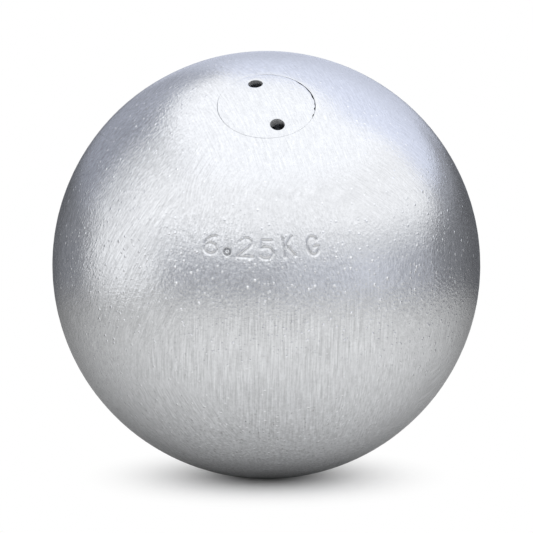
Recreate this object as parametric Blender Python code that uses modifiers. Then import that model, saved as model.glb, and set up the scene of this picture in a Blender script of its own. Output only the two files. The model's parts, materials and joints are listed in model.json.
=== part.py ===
"""Shot put: a turned cast iron ball, made up to its mass with lead behind a screw plug.

Metres, +Z up, origin at the ball's centre. The ball lies still with its plug up and towards
the viewer, at -Y. Every piece is turned about the plug's axis, so each is drawn along the
local Z axis of one empty, which leans by PLUG_LEAN.
"""

import math

import bpy

# Driving dimensions, in metres and radians
BALL_DIAMETER = 0.118
PLUG_LEAN = math.radians(37.2)

# The threaded mouth, the seat at its foot, and the chamber below it that holds the lead
THREAD_DIAMETER = 0.026
THREAD_DEPTH = 0.0011
MOUTH_DEPTH = 0.0145
RELIEF_HEIGHT = 0.002
RELIEF_STEP = 0.0004
SEAT_WIDTH = 0.00165
CHAMBER_DEPTH = 0.077
CHAMBER_CHAMFER = 0.0004
DRILL_POINT = math.radians(118)

# The screw plug, and the spigot under it that keeps the washer and presses on the pad
PLUG_END_CHAMFER = 0.0012
SPIGOT_LENGTH = 0.004
SPIGOT_CHAMFER = 0.0006
LIP_STEP = 0.0007
PIN_HOLE_DIAMETER = 0.004
PIN_HOLE_DEPTH = 0.007
PIN_HOLE_SPACING = 0.0175
PIN_HOLE_TURN = math.radians(19.3)

# What lies in the chamber, from the plug down
WASHER_THICKNESS = 0.0012
WASHER_CHAMFER = 0.0002
PAD_THICKNESS = 0.004
PAD_CHAMFER = 0.0005
TRIM_DISC_THICKNESSES = (0.003, 0.002, 0.001)
DISC_CHAMFER = 0.0002
SLUG_DISH = 0.0008
SLUG_CHAMFER = 0.0005

# Room that each piece keeps to the next
GAP = 0.0003

# Facets of the round forms
OUTER_STEPS = 72
INNER_STEPS = 48
PIN_HOLE_STEPS = 24
BALL_ARC_STEPS = 34
DOME_ARC_STEPS = 6
DISH_STEPS = 3
SMOOTH_ANGLE = math.radians(30)
MERGE_DISTANCE = 0.00001

# Radii, worked out from the diameters
BALL_RADIUS = BALL_DIAMETER / 2
MOUTH_RADIUS = THREAD_DIAMETER / 2
THREAD_ROOT_RADIUS = MOUTH_RADIUS - THREAD_DEPTH
CHAMBER_RADIUS = THREAD_ROOT_RADIUS - SEAT_WIDTH
PLUG_RADIUS = MOUTH_RADIUS - GAP
LIP_RADIUS = CHAMBER_RADIUS - GAP
NECK_RADIUS = LIP_RADIUS - LIP_STEP
WASHER_RADIUS = THREAD_ROOT_RADIUS - GAP
WASHER_BORE_RADIUS = NECK_RADIUS + GAP
FILL_RADIUS = CHAMBER_RADIUS - GAP

# Heights along the plug's axis, from the ball's centre
MOUTH_Z = math.sqrt(BALL_RADIUS**2 - MOUTH_RADIUS**2)
SEAT_Z = MOUTH_Z - MOUTH_DEPTH
CHAMBER_END_Z = SEAT_Z - CHAMBER_DEPTH
WASHER_BASE_Z = SEAT_Z + GAP
PLUG_BASE_Z = WASHER_BASE_Z + WASHER_THICKNESS + GAP
LIP_TOP_Z = WASHER_BASE_Z - GAP
SPIGOT_END_Z = LIP_TOP_Z - SPIGOT_LENGTH


def cone_height(radius):
    """How far a drill's point of this radius reaches past the straight wall."""
    return radius / math.tan(DRILL_POINT / 2)


def arc(radius, start_angle, end_angle, steps):
    """Points (radius, height) of an arc round the origin. The angles are measured from the local Z axis."""
    angles = [start_angle + (end_angle - start_angle) * i / steps for i in range(steps + 1)]
    return [(radius * math.sin(a), radius * math.cos(a)) for a in angles]


def linear(hex_colour):
    """An sRGB hex colour as the linear red, green, blue and alpha that materials take."""
    channels = [int(hex_colour[i : i + 2], 16) / 255 for i in (1, 3, 5)]
    return (*[c / 12.92 if c <= 0.04045 else ((c + 0.055) / 1.055) ** 2.4 for c in channels], 1.0)


def material(name, hex_colour, roughness, metallic):
    """A plain Principled material."""
    made = bpy.data.materials.new(name)
    made.use_nodes = True
    shader = made.node_tree.nodes["Principled BSDF"]
    shader.inputs["Base Color"].default_value = linear(hex_colour)
    shader.inputs["Roughness"].default_value = roughness
    shader.inputs["Metallic"].default_value = metallic
    return made


def clear_scene():
    """Removes every object, so that the script can be run again."""
    for old in list(bpy.data.objects):
        bpy.data.objects.remove(old, do_unlink=True)


def new_collection(name):
    """A collection linked to the scene."""
    made = bpy.data.collections.new(name)
    bpy.context.scene.collection.children.link(made)
    return made


def add_axis(collection):
    """The empty that carries every piece: its local Z is the plug's axis, leaning towards -Y."""
    axis = bpy.data.objects.new("plug_axis", None)
    axis.empty_display_size = BALL_RADIUS
    axis.rotation_euler = (PLUG_LEAN, 0, 0)
    collection.objects.link(axis)
    return axis


def turned(name, profile, steps, collection, axis, finish, ring=False):
    """A piece turned about the axis from its profile, whose outer side runs from top to bottom."""
    mesh = bpy.data.meshes.new(name)
    edges = [(i, i + 1) for i in range(len(profile) - 1)]
    if ring:
        edges.append((len(profile) - 1, 0))
    mesh.from_pydata([(radius, 0, height) for radius, height in profile], edges, [])
    piece = bpy.data.objects.new(name, mesh)
    piece.parent = axis
    collection.objects.link(piece)
    screw = piece.modifiers.new("turn", "SCREW")
    screw.axis = "Z"
    screw.steps = screw.render_steps = steps
    screw.use_merge_vertices = True
    screw.merge_threshold = MERGE_DISTANCE
    piece.data.materials.append(finish)
    return piece


def make_solid(piece):
    """Turns a piece's modifiers into its own mesh, smooth on its round faces and sharp at its corners."""
    evaluated = piece.evaluated_get(bpy.context.evaluated_depsgraph_get())
    solid = bpy.data.meshes.new_from_object(evaluated)
    solid.name = piece.name
    piece.modifiers.clear()
    piece.data = solid
    solid.shade_smooth()
    solid.set_sharp_from_angle(angle=SMOOTH_ANGLE)


def add_ball_body(collection, axis):
    """The cast iron ball: from the chamber's drilled end up the stepped bore, over the mouth's rim and
    down the turned outside."""
    relief_radius = MOUTH_RADIUS + RELIEF_STEP
    bore = [
        (0, CHAMBER_END_Z - cone_height(CHAMBER_RADIUS)),
        (CHAMBER_RADIUS, CHAMBER_END_Z),
        (CHAMBER_RADIUS, SEAT_Z - CHAMBER_CHAMFER),
        (CHAMBER_RADIUS + CHAMBER_CHAMFER, SEAT_Z),
        (relief_radius, SEAT_Z),
        (relief_radius, SEAT_Z + RELIEF_HEIGHT),
        (MOUTH_RADIUS, SEAT_Z + RELIEF_HEIGHT + RELIEF_STEP),
    ]
    rim_angle = math.asin(MOUTH_RADIUS / BALL_RADIUS)
    outside = arc(BALL_RADIUS, rim_angle, math.pi, BALL_ARC_STEPS)
    outside[-1] = (0, -BALL_RADIUS)
    finish = material("brushed_silver_paint_on_iron", "#C9CBD0", 0.42, 0.75)
    turned("ball_body", bore + outside, OUTER_STEPS, collection, axis, finish)


def add_pin_hole_cutter(side, cutters, axis):
    """The flat-bottomed hole for one pin of the spanner, on either side of the plug's middle."""
    reach = side * PIN_HOLE_SPACING / 2
    rim_z = math.sqrt(BALL_RADIUS**2 - reach**2)
    bpy.ops.mesh.primitive_cylinder_add(
        vertices=PIN_HOLE_STEPS, radius=PIN_HOLE_DIAMETER / 2, depth=2 * PIN_HOLE_DEPTH
    )
    cutter = bpy.context.object
    cutter.name = "pin_hole_cutter"
    cutter.location = (-reach * math.sin(PIN_HOLE_TURN), reach * math.cos(PIN_HOLE_TURN), rim_z)
    cutter.parent = axis
    cutter.hide_render = True
    cutter.display_type = "WIRE"
    for owner in list(cutter.users_collection):
        owner.objects.unlink(cutter)
    cutters.objects.link(cutter)
    return cutter


def add_screw_plug(collection, cutters, axis):
    """The iron plug: its face carries on the ball's own round, its body fills the thread, and its
    spigot has a neck for the washer and a lip that keeps it there."""
    dome = arc(BALL_RADIUS, 0, math.asin(PLUG_RADIUS / BALL_RADIUS), DOME_ARC_STEPS)
    dome[0] = (0, BALL_RADIUS)
    body = [
        (PLUG_RADIUS, PLUG_BASE_Z + PLUG_END_CHAMFER),
        (PLUG_RADIUS - PLUG_END_CHAMFER, PLUG_BASE_Z),
        (NECK_RADIUS, PLUG_BASE_Z),
        (NECK_RADIUS, LIP_TOP_Z),
        (LIP_RADIUS, LIP_TOP_Z),
        (LIP_RADIUS, SPIGOT_END_Z + SPIGOT_CHAMFER),
        (LIP_RADIUS - SPIGOT_CHAMFER, SPIGOT_END_Z),
        (0, SPIGOT_END_Z),
    ]
    finish = material("silver_paint_on_plug", "#CDCFD4", 0.4, 0.75)
    plug = turned("screw_plug", dome + body, OUTER_STEPS, collection, axis, finish)
    for side in (1, -1):
        cut = plug.modifiers.new("pin_hole", "BOOLEAN")
        cut.operation = "DIFFERENCE"
        cut.solver = "EXACT"
        cut.object = add_pin_hole_cutter(side, cutters, axis)


def add_sealing_washer(collection, axis):
    """The soft copper washer between the plug's shoulder and the seat, kept on the spigot by its lip."""
    top, base, c = WASHER_BASE_Z + WASHER_THICKNESS, WASHER_BASE_Z, WASHER_CHAMFER
    profile = [
        (WASHER_BORE_RADIUS, top),
        (WASHER_RADIUS - c, top),
        (WASHER_RADIUS, top - c),
        (WASHER_RADIUS, base + c),
        (WASHER_RADIUS - c, base),
        (WASHER_BORE_RADIUS, base),
    ]
    finish = material("soft_copper", "#B4714A", 0.35, 1.0)
    turned("sealing_washer", profile, INNER_STEPS, collection, axis, finish, ring=True)


def disc_profile(radius, top, thickness, chamfer):
    """The profile of a disc with its edges broken, from the middle of its top to the middle of its base."""
    base = top - thickness
    return [
        (0, top),
        (radius - chamfer, top),
        (radius, top - chamfer),
        (radius, base + chamfer),
        (radius - chamfer, base),
        (0, base),
    ]


def add_packing_pad(collection, axis):
    """The rubber pad that the plug's spigot squeezes on the lead, so that nothing rattles. Returns its base."""
    top = SPIGOT_END_Z - GAP
    profile = disc_profile(FILL_RADIUS, top, PAD_THICKNESS, PAD_CHAMFER)
    finish = material("black_rubber", "#2A2A2B", 0.8, 0.0)
    turned("packing_pad", profile, INNER_STEPS, collection, axis, finish)
    return top - PAD_THICKNESS


def add_trim_discs(stack_z, lead, collection, axis):
    """The lead discs that bring the finished ball to its mass, thickest on top. Returns the last one's base."""
    for number, thickness in enumerate(TRIM_DISC_THICKNESSES, start=1):
        profile = disc_profile(FILL_RADIUS, stack_z - GAP, thickness, DISC_CHAMFER)
        turned(f"trim_disc_{number}", profile, INNER_STEPS, collection, axis, lead)
        stack_z -= GAP + thickness
    return stack_z


def add_lead_slug(stack_z, lead, collection, axis):
    """The cast lead: dished on top where it shrank as it set, and pointed below like the chamber's end."""
    top = stack_z - GAP
    rim = FILL_RADIUS - SLUG_CHAMFER
    dish = []
    for i in range(DISH_STEPS + 1):
        share = i / DISH_STEPS
        dish.append((rim * share, top - SLUG_DISH * (1 - share**2)))
    # the same gap square to the chamber's cone as along its wall
    cone_drop = GAP / math.sin(DRILL_POINT / 2)
    tip = CHAMBER_END_Z - cone_height(CHAMBER_RADIUS) + cone_drop
    side = [
        (FILL_RADIUS, top - SLUG_CHAMFER),
        (FILL_RADIUS, tip + cone_height(FILL_RADIUS)),
        (0, tip),
    ]
    turned("lead_slug", dish + side, INNER_STEPS, collection, axis, lead)


def main():
    """Builds the shot put."""
    clear_scene()
    collection = new_collection("shot_put")
    cutters = new_collection("cutters")
    axis = add_axis(collection)
    lead = material("cast_lead", "#6F7278", 0.55, 0.9)
    add_ball_body(collection, axis)
    add_screw_plug(collection, cutters, axis)
    add_sealing_washer(collection, axis)
    pad_base_z = add_packing_pad(collection, axis)
    discs_base_z = add_trim_discs(pad_base_z, lead, collection, axis)
    add_lead_slug(discs_base_z, lead, collection, axis)
    bpy.context.view_layer.update()
    for piece in collection.objects:
        if piece.type == "MESH":
            make_solid(piece)


main()
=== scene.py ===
"""Shot put: a turned cast iron ball in brushed aluminium paint, with its screw plug."""

import cmath
import json
import math

import bpy
import numpy as np
from bpy.props import FloatProperty, FloatVectorProperty, PointerProperty
from mathutils import Matrix, Vector
from mathutils.geometry import delaunay_2d_cdt


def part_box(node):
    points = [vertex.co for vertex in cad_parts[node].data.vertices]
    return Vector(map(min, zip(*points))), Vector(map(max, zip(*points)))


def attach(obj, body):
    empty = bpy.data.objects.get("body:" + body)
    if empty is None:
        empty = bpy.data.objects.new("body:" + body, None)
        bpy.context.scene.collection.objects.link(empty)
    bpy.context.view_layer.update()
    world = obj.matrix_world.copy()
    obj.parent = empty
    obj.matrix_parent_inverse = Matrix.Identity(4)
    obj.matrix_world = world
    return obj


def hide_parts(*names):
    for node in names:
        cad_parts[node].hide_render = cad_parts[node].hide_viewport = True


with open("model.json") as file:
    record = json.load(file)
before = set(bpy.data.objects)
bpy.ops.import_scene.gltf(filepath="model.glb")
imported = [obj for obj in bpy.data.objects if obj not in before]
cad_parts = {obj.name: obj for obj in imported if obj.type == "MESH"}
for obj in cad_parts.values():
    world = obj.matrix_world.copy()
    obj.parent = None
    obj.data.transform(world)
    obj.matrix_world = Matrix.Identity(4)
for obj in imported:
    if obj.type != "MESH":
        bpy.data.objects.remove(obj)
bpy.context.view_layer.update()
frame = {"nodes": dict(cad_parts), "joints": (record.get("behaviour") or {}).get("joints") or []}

bl_info = {
    "name": "Shot put",
    "version": (1, 0, 0),
    "blender": (4, 5, 0),
    "location": "View3D > Sidebar > Shot Put",
    "description": "Builds a painted iron shot put with its threaded plug, washer and lead, "
    "and a stage for it",
    "category": "Add Mesh",
}

MM = 0.001

# The plug's axis, from the joint that lifts the plug
JOINTS = {joint["name"]: joint for joint in frame["joints"]}
PLUG_AXIS = Vector(JOINTS["plug_rise"]["axis"])
PLUG_LEAN = math.atan2(-PLUG_AXIS.y, PLUG_AXIS.z)
PLUG_FRAME = Matrix.Rotation(PLUG_LEAN, 4, "X")


def reach(node):
    """The lowest and highest place of a node along the plug's axis."""
    heights = [PLUG_AXIS.dot(corner.co) for corner in frame["nodes"][node].data.vertices]
    return min(heights), max(heights)


def round_radius(node):
    """Half a round node's width, measured across the plug's axis."""
    low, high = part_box(node)
    return round((high.x - low.x) / 2, 5)


# Sizes of the solids, most of them read from the frame, and all along or across the plug's axis
CLEARANCE = 0.3 * MM
SPIGOT_CHAMFER = 0.6 * MM
BALL_RADIUS = round_radius("ball_body")
MOUTH_RADIUS = round_radius("screw_plug") + CLEARANCE
CHAMBER_RADIUS = round_radius("lead_slug") + CLEARANCE
PAD_RADIUS = round_radius("packing_pad")
WASHER_BASE, WASHER_TOP = reach("sealing_washer")
SEAT_HEIGHT = WASHER_BASE - CLEARANCE
SHOULDER_HEIGHT = WASHER_TOP + CLEARANCE
SPIGOT_END = reach("screw_plug")[0]
FLOOR_HEIGHT = -BALL_RADIUS

# The thread, right-handed, with flanks 60 degrees apart, and how steeply it runs out at its ends
THREAD_PITCH = 2.0 * MM
THREAD_SLOPE = math.tan(math.radians(30))
THREAD_ROWS_A_TURN = 14
MOUTH_RUN_OUT = 1.2
PLUG_RUN_OUT = 1.1

# How far round the plug's axis from the viewer's side the stamped mark reaches, and how far down
# from it, and the step of the ball's mesh there and elsewhere
MARK_LEFT = math.radians(-24.6)
MARK_RIGHT = math.radians(20.6)
MARK_UPPER = 38.6 * MM
MARK_LOWER = 48.6 * MM
MARK_STEP = 0.16 * MM
COLUMN_STEP = math.radians(3)
ROW_STEP = math.radians(2)

# How many steps round a softened edge, a pin hole, the plug and the pad
EDGE_STEPS = 5
HOLE_STEPS = 60
PLUG_STEPS = 180
PAD_STEPS = 120


def setting(name, description, default, **kind):
    """A number that the user can change."""
    return FloatProperty(name=name, description=description, default=default, **kind)


def length(name, description, millimetres):
    """A length that the user can change."""
    return setting(name, description, millimetres * MM, unit="LENGTH")


def linear(hex_colour):
    """An sRGB hex colour as linear red, green, blue and alpha."""
    channels = [int(hex_colour[i : i + 2], 16) / 255 for i in (1, 3, 5)]
    return (*[c / 12.92 if c <= 0.04045 else ((c + 0.055) / 1.055) ** 2.4 for c in channels], 1.0)


class BallSettings(bpy.types.PropertyGroup):
    """Sizes of the ball's outside, mouth and stamped mark."""

    rim_round: length("Rim round", "Radius that the paint leaves on the mouth's rim", 0.09)
    unevenness: length(
        "Unevenness",
        "Height of the shallow waves that hand finishing leaves on the turned ball",
        0.016,
    )
    mark_height: length("Mark height", "Height of the stamped figures", 5.0)
    mark_depth: length("Mark depth", "Depth of the stamped figures under the paint", 0.27)
    mark_stroke: length("Mark stroke", "Width of the stamped strokes at the surface", 1.2)


class PlugSettings(bpy.types.PropertyGroup):
    """Sizes of the screw plug and its spanner holes."""

    pin_hole_diameter: length(
        "Pin hole diameter", "Bore of the two holes for the spanner's pins", 4.0
    )
    pin_hole_depth: length("Pin hole depth", "Depth of the two holes for the spanner's pins", 7.0)
    pin_hole_spacing: length(
        "Pin hole spacing", "Distance between the middles of the two holes", 17.5
    )
    pin_hole_turn: setting(
        "Pin hole turn",
        "Turn of the line through the holes about the plug's axis",
        math.radians(19.3),
        subtype="ANGLE",
    )
    seam_gap: length(
        "Seam gap", "Room that the paint leaves between the plug's edge and the mouth", 0.03
    )
    seam_crack: length(
        "Seam crack", "How much wider the seam is where the paint has cracked open", 0.36
    )
    edge_round: length("Edge round", "Radius that the paint leaves on the plug's edge", 0.13)
    hole_paint: length(
        "Paint in the holes",
        "Thickness of the paint that the brush pushed into the mouths of the spanner holes",
        0.13,
    )
    hole_paint_depth: length(
        "Depth of the paint in the holes", "How far down that paint reaches", 1.7
    )
    hole_round: length(
        "Hole round", "Radius that the paint leaves on the rims of the spanner holes", 0.28
    )


class PaintSettings(bpy.types.PropertyGroup):
    """Colour and texture of the aluminium paint."""

    colour: FloatVectorProperty(
        name="Colour",
        description="Colour of the aluminium paint",
        default=linear("#D3D4D5")[:3],
        size=3,
        min=0.0,
        max=1.0,
        subtype="COLOR",
    )
    roughness: setting(
        "Roughness", "Spread of the paint's gloss", 0.21, min=0.0, max=1.0, subtype="FACTOR"
    )
    stroke_width: length("Stroke width", "Width of one bristle's track in the paint", 0.3)
    stroke_length: length("Stroke length", "Length over which a bristle's track changes", 5)


class PadSettings(bpy.types.PropertyGroup):
    """Form of the squeezed rubber pad."""

    bulge: length("Bulge", "How far the pad's side swells out halfway up", 0.14)
    imprint: length("Imprint", "How far the spigot's end has sunk into the pad", 0.2)
    wobble: setting(
        "Wobble", "How far the hand-cut disc is out of round, as a share of its radius", 0.004
    )


class StageSettings(bpy.types.PropertyGroup):
    """Camera and light."""

    camera_distance: length(
        "Camera distance", "Distance from the camera to the ball's centre", 885
    )
    camera_elevation: setting(
        "Camera elevation",
        "Height of the camera over the horizon, seen from the ball",
        math.radians(6.0),
        subtype="ANGLE",
    )
    focal_length: setting(
        "Focal length", "Focal length on a sensor 36 mm wide, in millimetres", 216.5
    )
    softbox: setting(
        "Overhead softbox",
        "How much brighter than the white room the softbox over the ball is, where 1 is white",
        0.56,
    )
    front_panel: setting(
        "Front panel",
        "Brightness of the panel that leans over the front and both sides, where 1 is white",
        1.38,
    )
    front_card: setting(
        "Front card", "Tone of the grey card that stands low in front, where 1 is white", 0.55
    )
    right_card: setting(
        "Right card", "Tone of the dark card at the right, where 1 is white", 0.24
    )
    left_card: setting(
        "Left card", "Tone of the dark card behind at the left, where 1 is white", 0.3
    )


def set_inputs(node, inputs):
    """Sets or links a node's inputs, given by name or number, or in their order."""
    if not isinstance(inputs, dict):
        inputs = dict(enumerate(inputs))
    for name, value in inputs.items():
        if isinstance(value, bpy.types.NodeSocket):
            node.id_data.links.new(value, node.inputs[name])
        else:
            node.inputs[name].default_value = value


def add_node(tree, kind, inputs=(), output=None, **settings):
    """Adds a shader node, sets its properties, and sets or links its inputs. Returns the output of
    this name, or else the first that is in use."""
    node = tree.nodes.new("ShaderNode" + kind)
    for name, value in settings.items():
        setattr(node, name, value)
    set_inputs(node, inputs)
    if output:
        return node.outputs[output]
    return next(socket for socket in node.outputs if socket.enabled)


def new_material(name):
    """A material with an empty Principled shader. Returns it, its node tree and the shader."""
    material = bpy.data.materials.new(name)
    material.use_nodes = True
    return material, material.node_tree, material.node_tree.nodes["Principled BSDF"]


def shade(colour, times):
    """A linear colour this many times as bright."""
    return (*(Vector(colour[:3]) * times), 1.0)


def along(azimuth, elevation):
    """The direction from the ball's centre at these angles in degrees, azimuth 0 to the viewer."""
    azimuth, elevation = math.radians(azimuth), math.radians(elevation)
    flat = math.cos(elevation)
    return Vector((flat * math.sin(azimuth), -flat * math.cos(azimuth), math.sin(elevation)))


# Where the brush went: azimuth and elevation of a patch's middle, half its width and its strokes'
# lean from upright, all in degrees, and how long its strokes are against the longest
BRUSH_PATCHES = (
    (0, -20, 46, 1, 1.0),
    (-38, 6, 27, 30, 0.5),
    (-52, 38, 26, 22, 0.22),
    (44, 34, 27, -45, 0.6),
    (10, 56, 34, -12, 0.6),
    (62, -6, 22, 0, 0.5),
    (46, 4, 19, 8, 0.2),
    (-34, -46, 24, -12, 0.5),
    (38, -34, 20, -12, 0.6),
    (2, -66, 24, -40, 0.12),
    (-14, 8, 17, 14, 0.16),
    (12, 8, 17, -20, 0.16),
)
# The share of its width over which a patch covers fully, and the step from one seed to the next
PATCH_CORE = 0.6
PATCH_SEED = 3.7
# Two layers of random patches on the other sides: size and seed
OTHER_PATCHES = ((34 * MM, 0.131), (47 * MM, 0.377))
# How long their strokes are, how far they lean, and over what share of a patch their edges fade
OTHER_STROKES = 0.3
OTHER_LEAN = 1.6
OTHER_FADE = 0.16

# Specks in the paint: spacing, size across, share of the places that hold one, and seed
NIBS = (1.9 * MM, 0.95 * MM, 0.7, 0.291)
SMALL_NIBS = (1.2 * MM, 0.75 * MM, 0.6, 0.718)
PITS = (3.4 * MM, 0.6 * MM, 0.25, 0.523)
# On top, towards the right, the paint lay flat as it dried, and levelled out: the direction of the
# middle of that part, the cosines to it between which the paint changes, and the share of its
# relief outside and inside
LEVELLED = ((28, 50), (0.58, 0.92, 1.0, 0.5))
# Underneath, it hung in short, rough drops: the same, with how many times as coarse it is there
SAGGED = ((0, -75), (0.65, 0.9, 1.0, 2.5))
# How much of the paint's colour the light and dark streaks make up, where it hasn't levelled out
STREAK_SHARE = 0.6
# How the streaks, the flecks and the painted shade in the mark differ from the plain colour
STREAK_TONES = (0.66, 1.27)
FLECK_TONES = (0.6, 1.4)
STAMP_SHADE_TONE = 0.8
# Sizes of the paint's grain and of the clouds in its gloss, and how far those swing the roughness
GRAIN_SIZE = 0.8 * MM
CLOUD_SIZE = 16 * MM
ROUGHNESS_SWING = 0.03
# Nearly all values of a noise lie between these
NOISE_RANGE = (0.3, 0.7)
# The points' depth in the stamped strokes, from 0 to 1, which the paint reads to paint shade there
STAMP_ATTRIBUTE = "stamp"


def patch_cover(tree, outward, middle, limits):
    """A value that changes smoothly round a direction, between two cosines of the angle to it: from
    0 to 1, or between the two values that follow the cosines."""
    aim = add_node(tree, "VectorMath", (outward, middle), operation="DOT_PRODUCT")
    return add_node(tree, "MapRange", (aim, *limits), interpolation_type="SMOOTHSTEP")


def stroke_field(tree, place, across, lengthwise, paint, length_share, seed):
    """The tracks of the bristles as a value from 0 to 1, with directions across and along the
    stroke. A bristle is about 0.1 mm thick, too fine to show, so the tracks are drawn three times
    as wide."""
    u = add_node(tree, "VectorMath", (place, across), operation="DOT_PRODUCT")
    v = add_node(tree, "VectorMath", (place, lengthwise), operation="DOT_PRODUCT")
    u = add_node(tree, "Math", (u, 1 / paint.stroke_width), operation="MULTIPLY")
    v = add_node(tree, "Math", (v, 1 / (paint.stroke_length * length_share)), operation="MULTIPLY")
    tracks = add_node(tree, "CombineXYZ", (u, v, seed))
    # a scale of 0.75 makes one light and dark change last a little over one track
    look = {"Vector": tracks, "Scale": 0.75, "Detail": 3.0, "Roughness": 0.6}
    return add_node(tree, "TexNoise", look)


def random_strokes(tree, place, paint, cell_size, seed, under):
    """Strokes in patches that lean at random from upright, over the tracks under them, if any."""
    shifted = add_node(tree, "VectorMath", (place, (seed,) * 3), operation="ADD")
    pattern = {"Vector": shifted, "Scale": 1 / cell_size}
    cells = add_node(tree, "TexVoronoi", pattern).node.outputs
    lean = add_node(tree, "VectorMath", (cells["Color"], (0.5,) * 3), operation="SUBTRACT")
    up = (0.0, 0.0, 1.0)
    lean = add_node(tree, "VectorMath", (lean, (OTHER_LEAN,) * 3, up), operation="MULTIPLY_ADD")
    back = (cells["Position"], (cell_size,) * 3, (-seed,) * 3)
    middle = add_node(tree, "VectorMath", back, operation="MULTIPLY_ADD")
    across = add_node(tree, "VectorMath", (middle, lean), operation="CROSS_PRODUCT")
    across = add_node(tree, "VectorMath", (across,), operation="NORMALIZE")
    lengthwise = add_node(tree, "VectorMath", (middle, across), operation="CROSS_PRODUCT")
    lengthwise = add_node(tree, "VectorMath", (lengthwise,), operation="NORMALIZE")
    tracks = stroke_field(tree, place, across, lengthwise, paint, OTHER_STROKES, seed)
    if under is None:
        return tracks
    edge = add_node(tree, "TexVoronoi", pattern, feature="DISTANCE_TO_EDGE")
    cover = add_node(tree, "MapRange", (edge, 0.0, OTHER_FADE), interpolation_type="SMOOTHSTEP")
    return add_node(tree, "Mix", {"Factor": cover, "A": under, "B": tracks}, data_type="FLOAT")


def brush_tracks(tree, place, outward, paint):
    """The tracks all over the ball: random patches, and over them those of the viewer's side."""
    tracks = None
    for cell_size, seed in OTHER_PATCHES:
        tracks = random_strokes(tree, place, paint, cell_size, seed, tracks)
    for number, (azimuth, elevation, width, lean, length_share) in enumerate(BRUSH_PATCHES, 1):
        middle = along(azimuth, elevation)
        right = Vector((0, 0, 1)).cross(middle).normalized()
        upright = middle.cross(right)
        turn = math.radians(lean)
        lengthwise = upright * math.cos(turn) + right * math.sin(turn)
        across = middle.cross(lengthwise)
        seed = PATCH_SEED * number
        strokes = stroke_field(tree, place, across, lengthwise, paint, length_share, seed)
        limits = [math.cos(math.radians(width * share)) for share in (1, PATCH_CORE)]
        cover = patch_cover(tree, outward, middle, limits)
        mixed = {"Factor": cover, "A": tracks, "B": strokes}
        tracks = add_node(tree, "Mix", mixed, data_type="FLOAT")
    return tracks


def specks(tree, place, spacing, size, share, seed):
    """Round specks as a value from 0 to 1: one in some cells of this spacing, this size across."""
    shifted = add_node(tree, "VectorMath", (place, (seed,) * 3), operation="ADD")
    cell = add_node(tree, "TexVoronoi", {"Vector": shifted, "Scale": 1 / spacing})
    limits = (cell, size / spacing / 2, 0.0)
    swell = add_node(tree, "MapRange", limits, interpolation_type="SMOOTHSTEP")
    # half of the chosen ones stand at their full height
    chance = add_node(tree, "SeparateColor", (cell.node.outputs["Color"],))
    chosen = add_node(tree, "MapRange", (chance, 1 - share, 1 - share / 2))
    return add_node(tree, "Math", (swell, chosen), operation="MULTIPLY")


def aluminium_paint(name, paint):
    """Aluminium paint, brushed over turned iron: leafing flakes give a satin metal gloss, and the
    bristles leave fine tracks, light and dark, with a few nibs and pits that glint where the light
    changes. The nibs' tips also carry painted glints, and the stamped strokes painted shade. A
    flake is 0.03 mm wide, too fine to show, so the grain is drawn as clumps."""
    material, tree, shader = new_material(name)
    place = add_node(tree, "TexCoord", output="Object")
    outward = add_node(tree, "VectorMath", (place,), operation="NORMALIZE")
    tracks = brush_tracks(tree, place, outward, paint)
    clumps = {"Vector": place, "Scale": 1 / GRAIN_SIZE, "Detail": 3.0, "Roughness": 0.6}
    grain = add_node(tree, "TexNoise", clumps)
    clouds = add_node(tree, "TexNoise", {"Vector": place, "Scale": 1 / CLOUD_SIZE, "Detail": 2.0})
    relief, roughened = [
        patch_cover(tree, outward, along(*middle), limits) for middle, limits in (LEVELLED, SAGGED)
    ]
    coarse = add_node(tree, "Math", (relief, roughened), operation="MULTIPLY")
    nibs = specks(tree, place, *NIBS)
    small_nibs = specks(tree, place, *SMALL_NIBS)
    small_nibs = add_node(tree, "Math", (small_nibs, coarse), operation="MULTIPLY")
    surface = 0.0
    for field, height in (
        (tracks, 0.04 * MM),
        (nibs, 0.17 * MM),
        (small_nibs, 0.11 * MM),
        (specks(tree, place, *PITS), -0.07 * MM),
        (grain, 0.12 * MM),
    ):
        surface = add_node(tree, "Math", (field, height, surface), operation="MULTIPLY_ADD")
    bump = add_node(tree, "Bump", {"Strength": relief, "Distance": 1.0, "Height": surface})

    tones = add_node(tree, "MapRange", (tracks, *NOISE_RANGE))
    uneven = add_node(tree, "Math", (grain, 0.5), operation="SUBTRACT")
    flecks = (uneven, coarse, 0.5)
    flecks = add_node(tree, "Math", flecks, operation="MULTIPLY_ADD", use_clamp=True)
    streaked, flecked = [
        add_node(
            tree,
            "Mix",
            {"Factor": field, "A": shade(paint.colour, dark), "B": shade(paint.colour, light)},
            data_type="RGBA",
        )
        for field, (dark, light) in ((tones, STREAK_TONES), (flecks, FLECK_TONES))
    ]
    share = add_node(tree, "Math", (relief, STREAK_SHARE), operation="MULTIPLY")
    # painted glints: the tips of the nibs are painted near white, more underneath and less on the
    # levelled top
    painted_glints = add_node(tree, "Math", (nibs, coarse), operation="MULTIPLY", use_clamp=True)
    # and painted shade in the stamped strokes, darker the deeper they go
    stamp_shade = add_node(tree, "Attribute", output="Fac", attribute_name=STAMP_ATTRIBUTE)
    colour = flecked
    for factor, other in (
        (share, streaked),
        (painted_glints, linear("#F4F5F6")),
        (stamp_shade, shade(paint.colour, STAMP_SHADE_TONE)),
    ):
        mixed = {"Factor": factor, "A": colour, "B": other}
        colour = add_node(tree, "Mix", mixed, data_type="RGBA")
    spread = (paint.roughness - ROUGHNESS_SWING, paint.roughness + ROUGHNESS_SWING)
    rough = add_node(tree, "MapRange", (clouds, *NOISE_RANGE, *spread))
    set_inputs(shader, {"Base Color": colour, "Normal": bump, "Roughness": rough, "Metallic": 0.9})
    # flakes that stand in their own binder give back less at a glance than solid metal does
    set_inputs(shader, {"Specular Tint": linear("#D0D0D0")})
    return material


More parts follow.
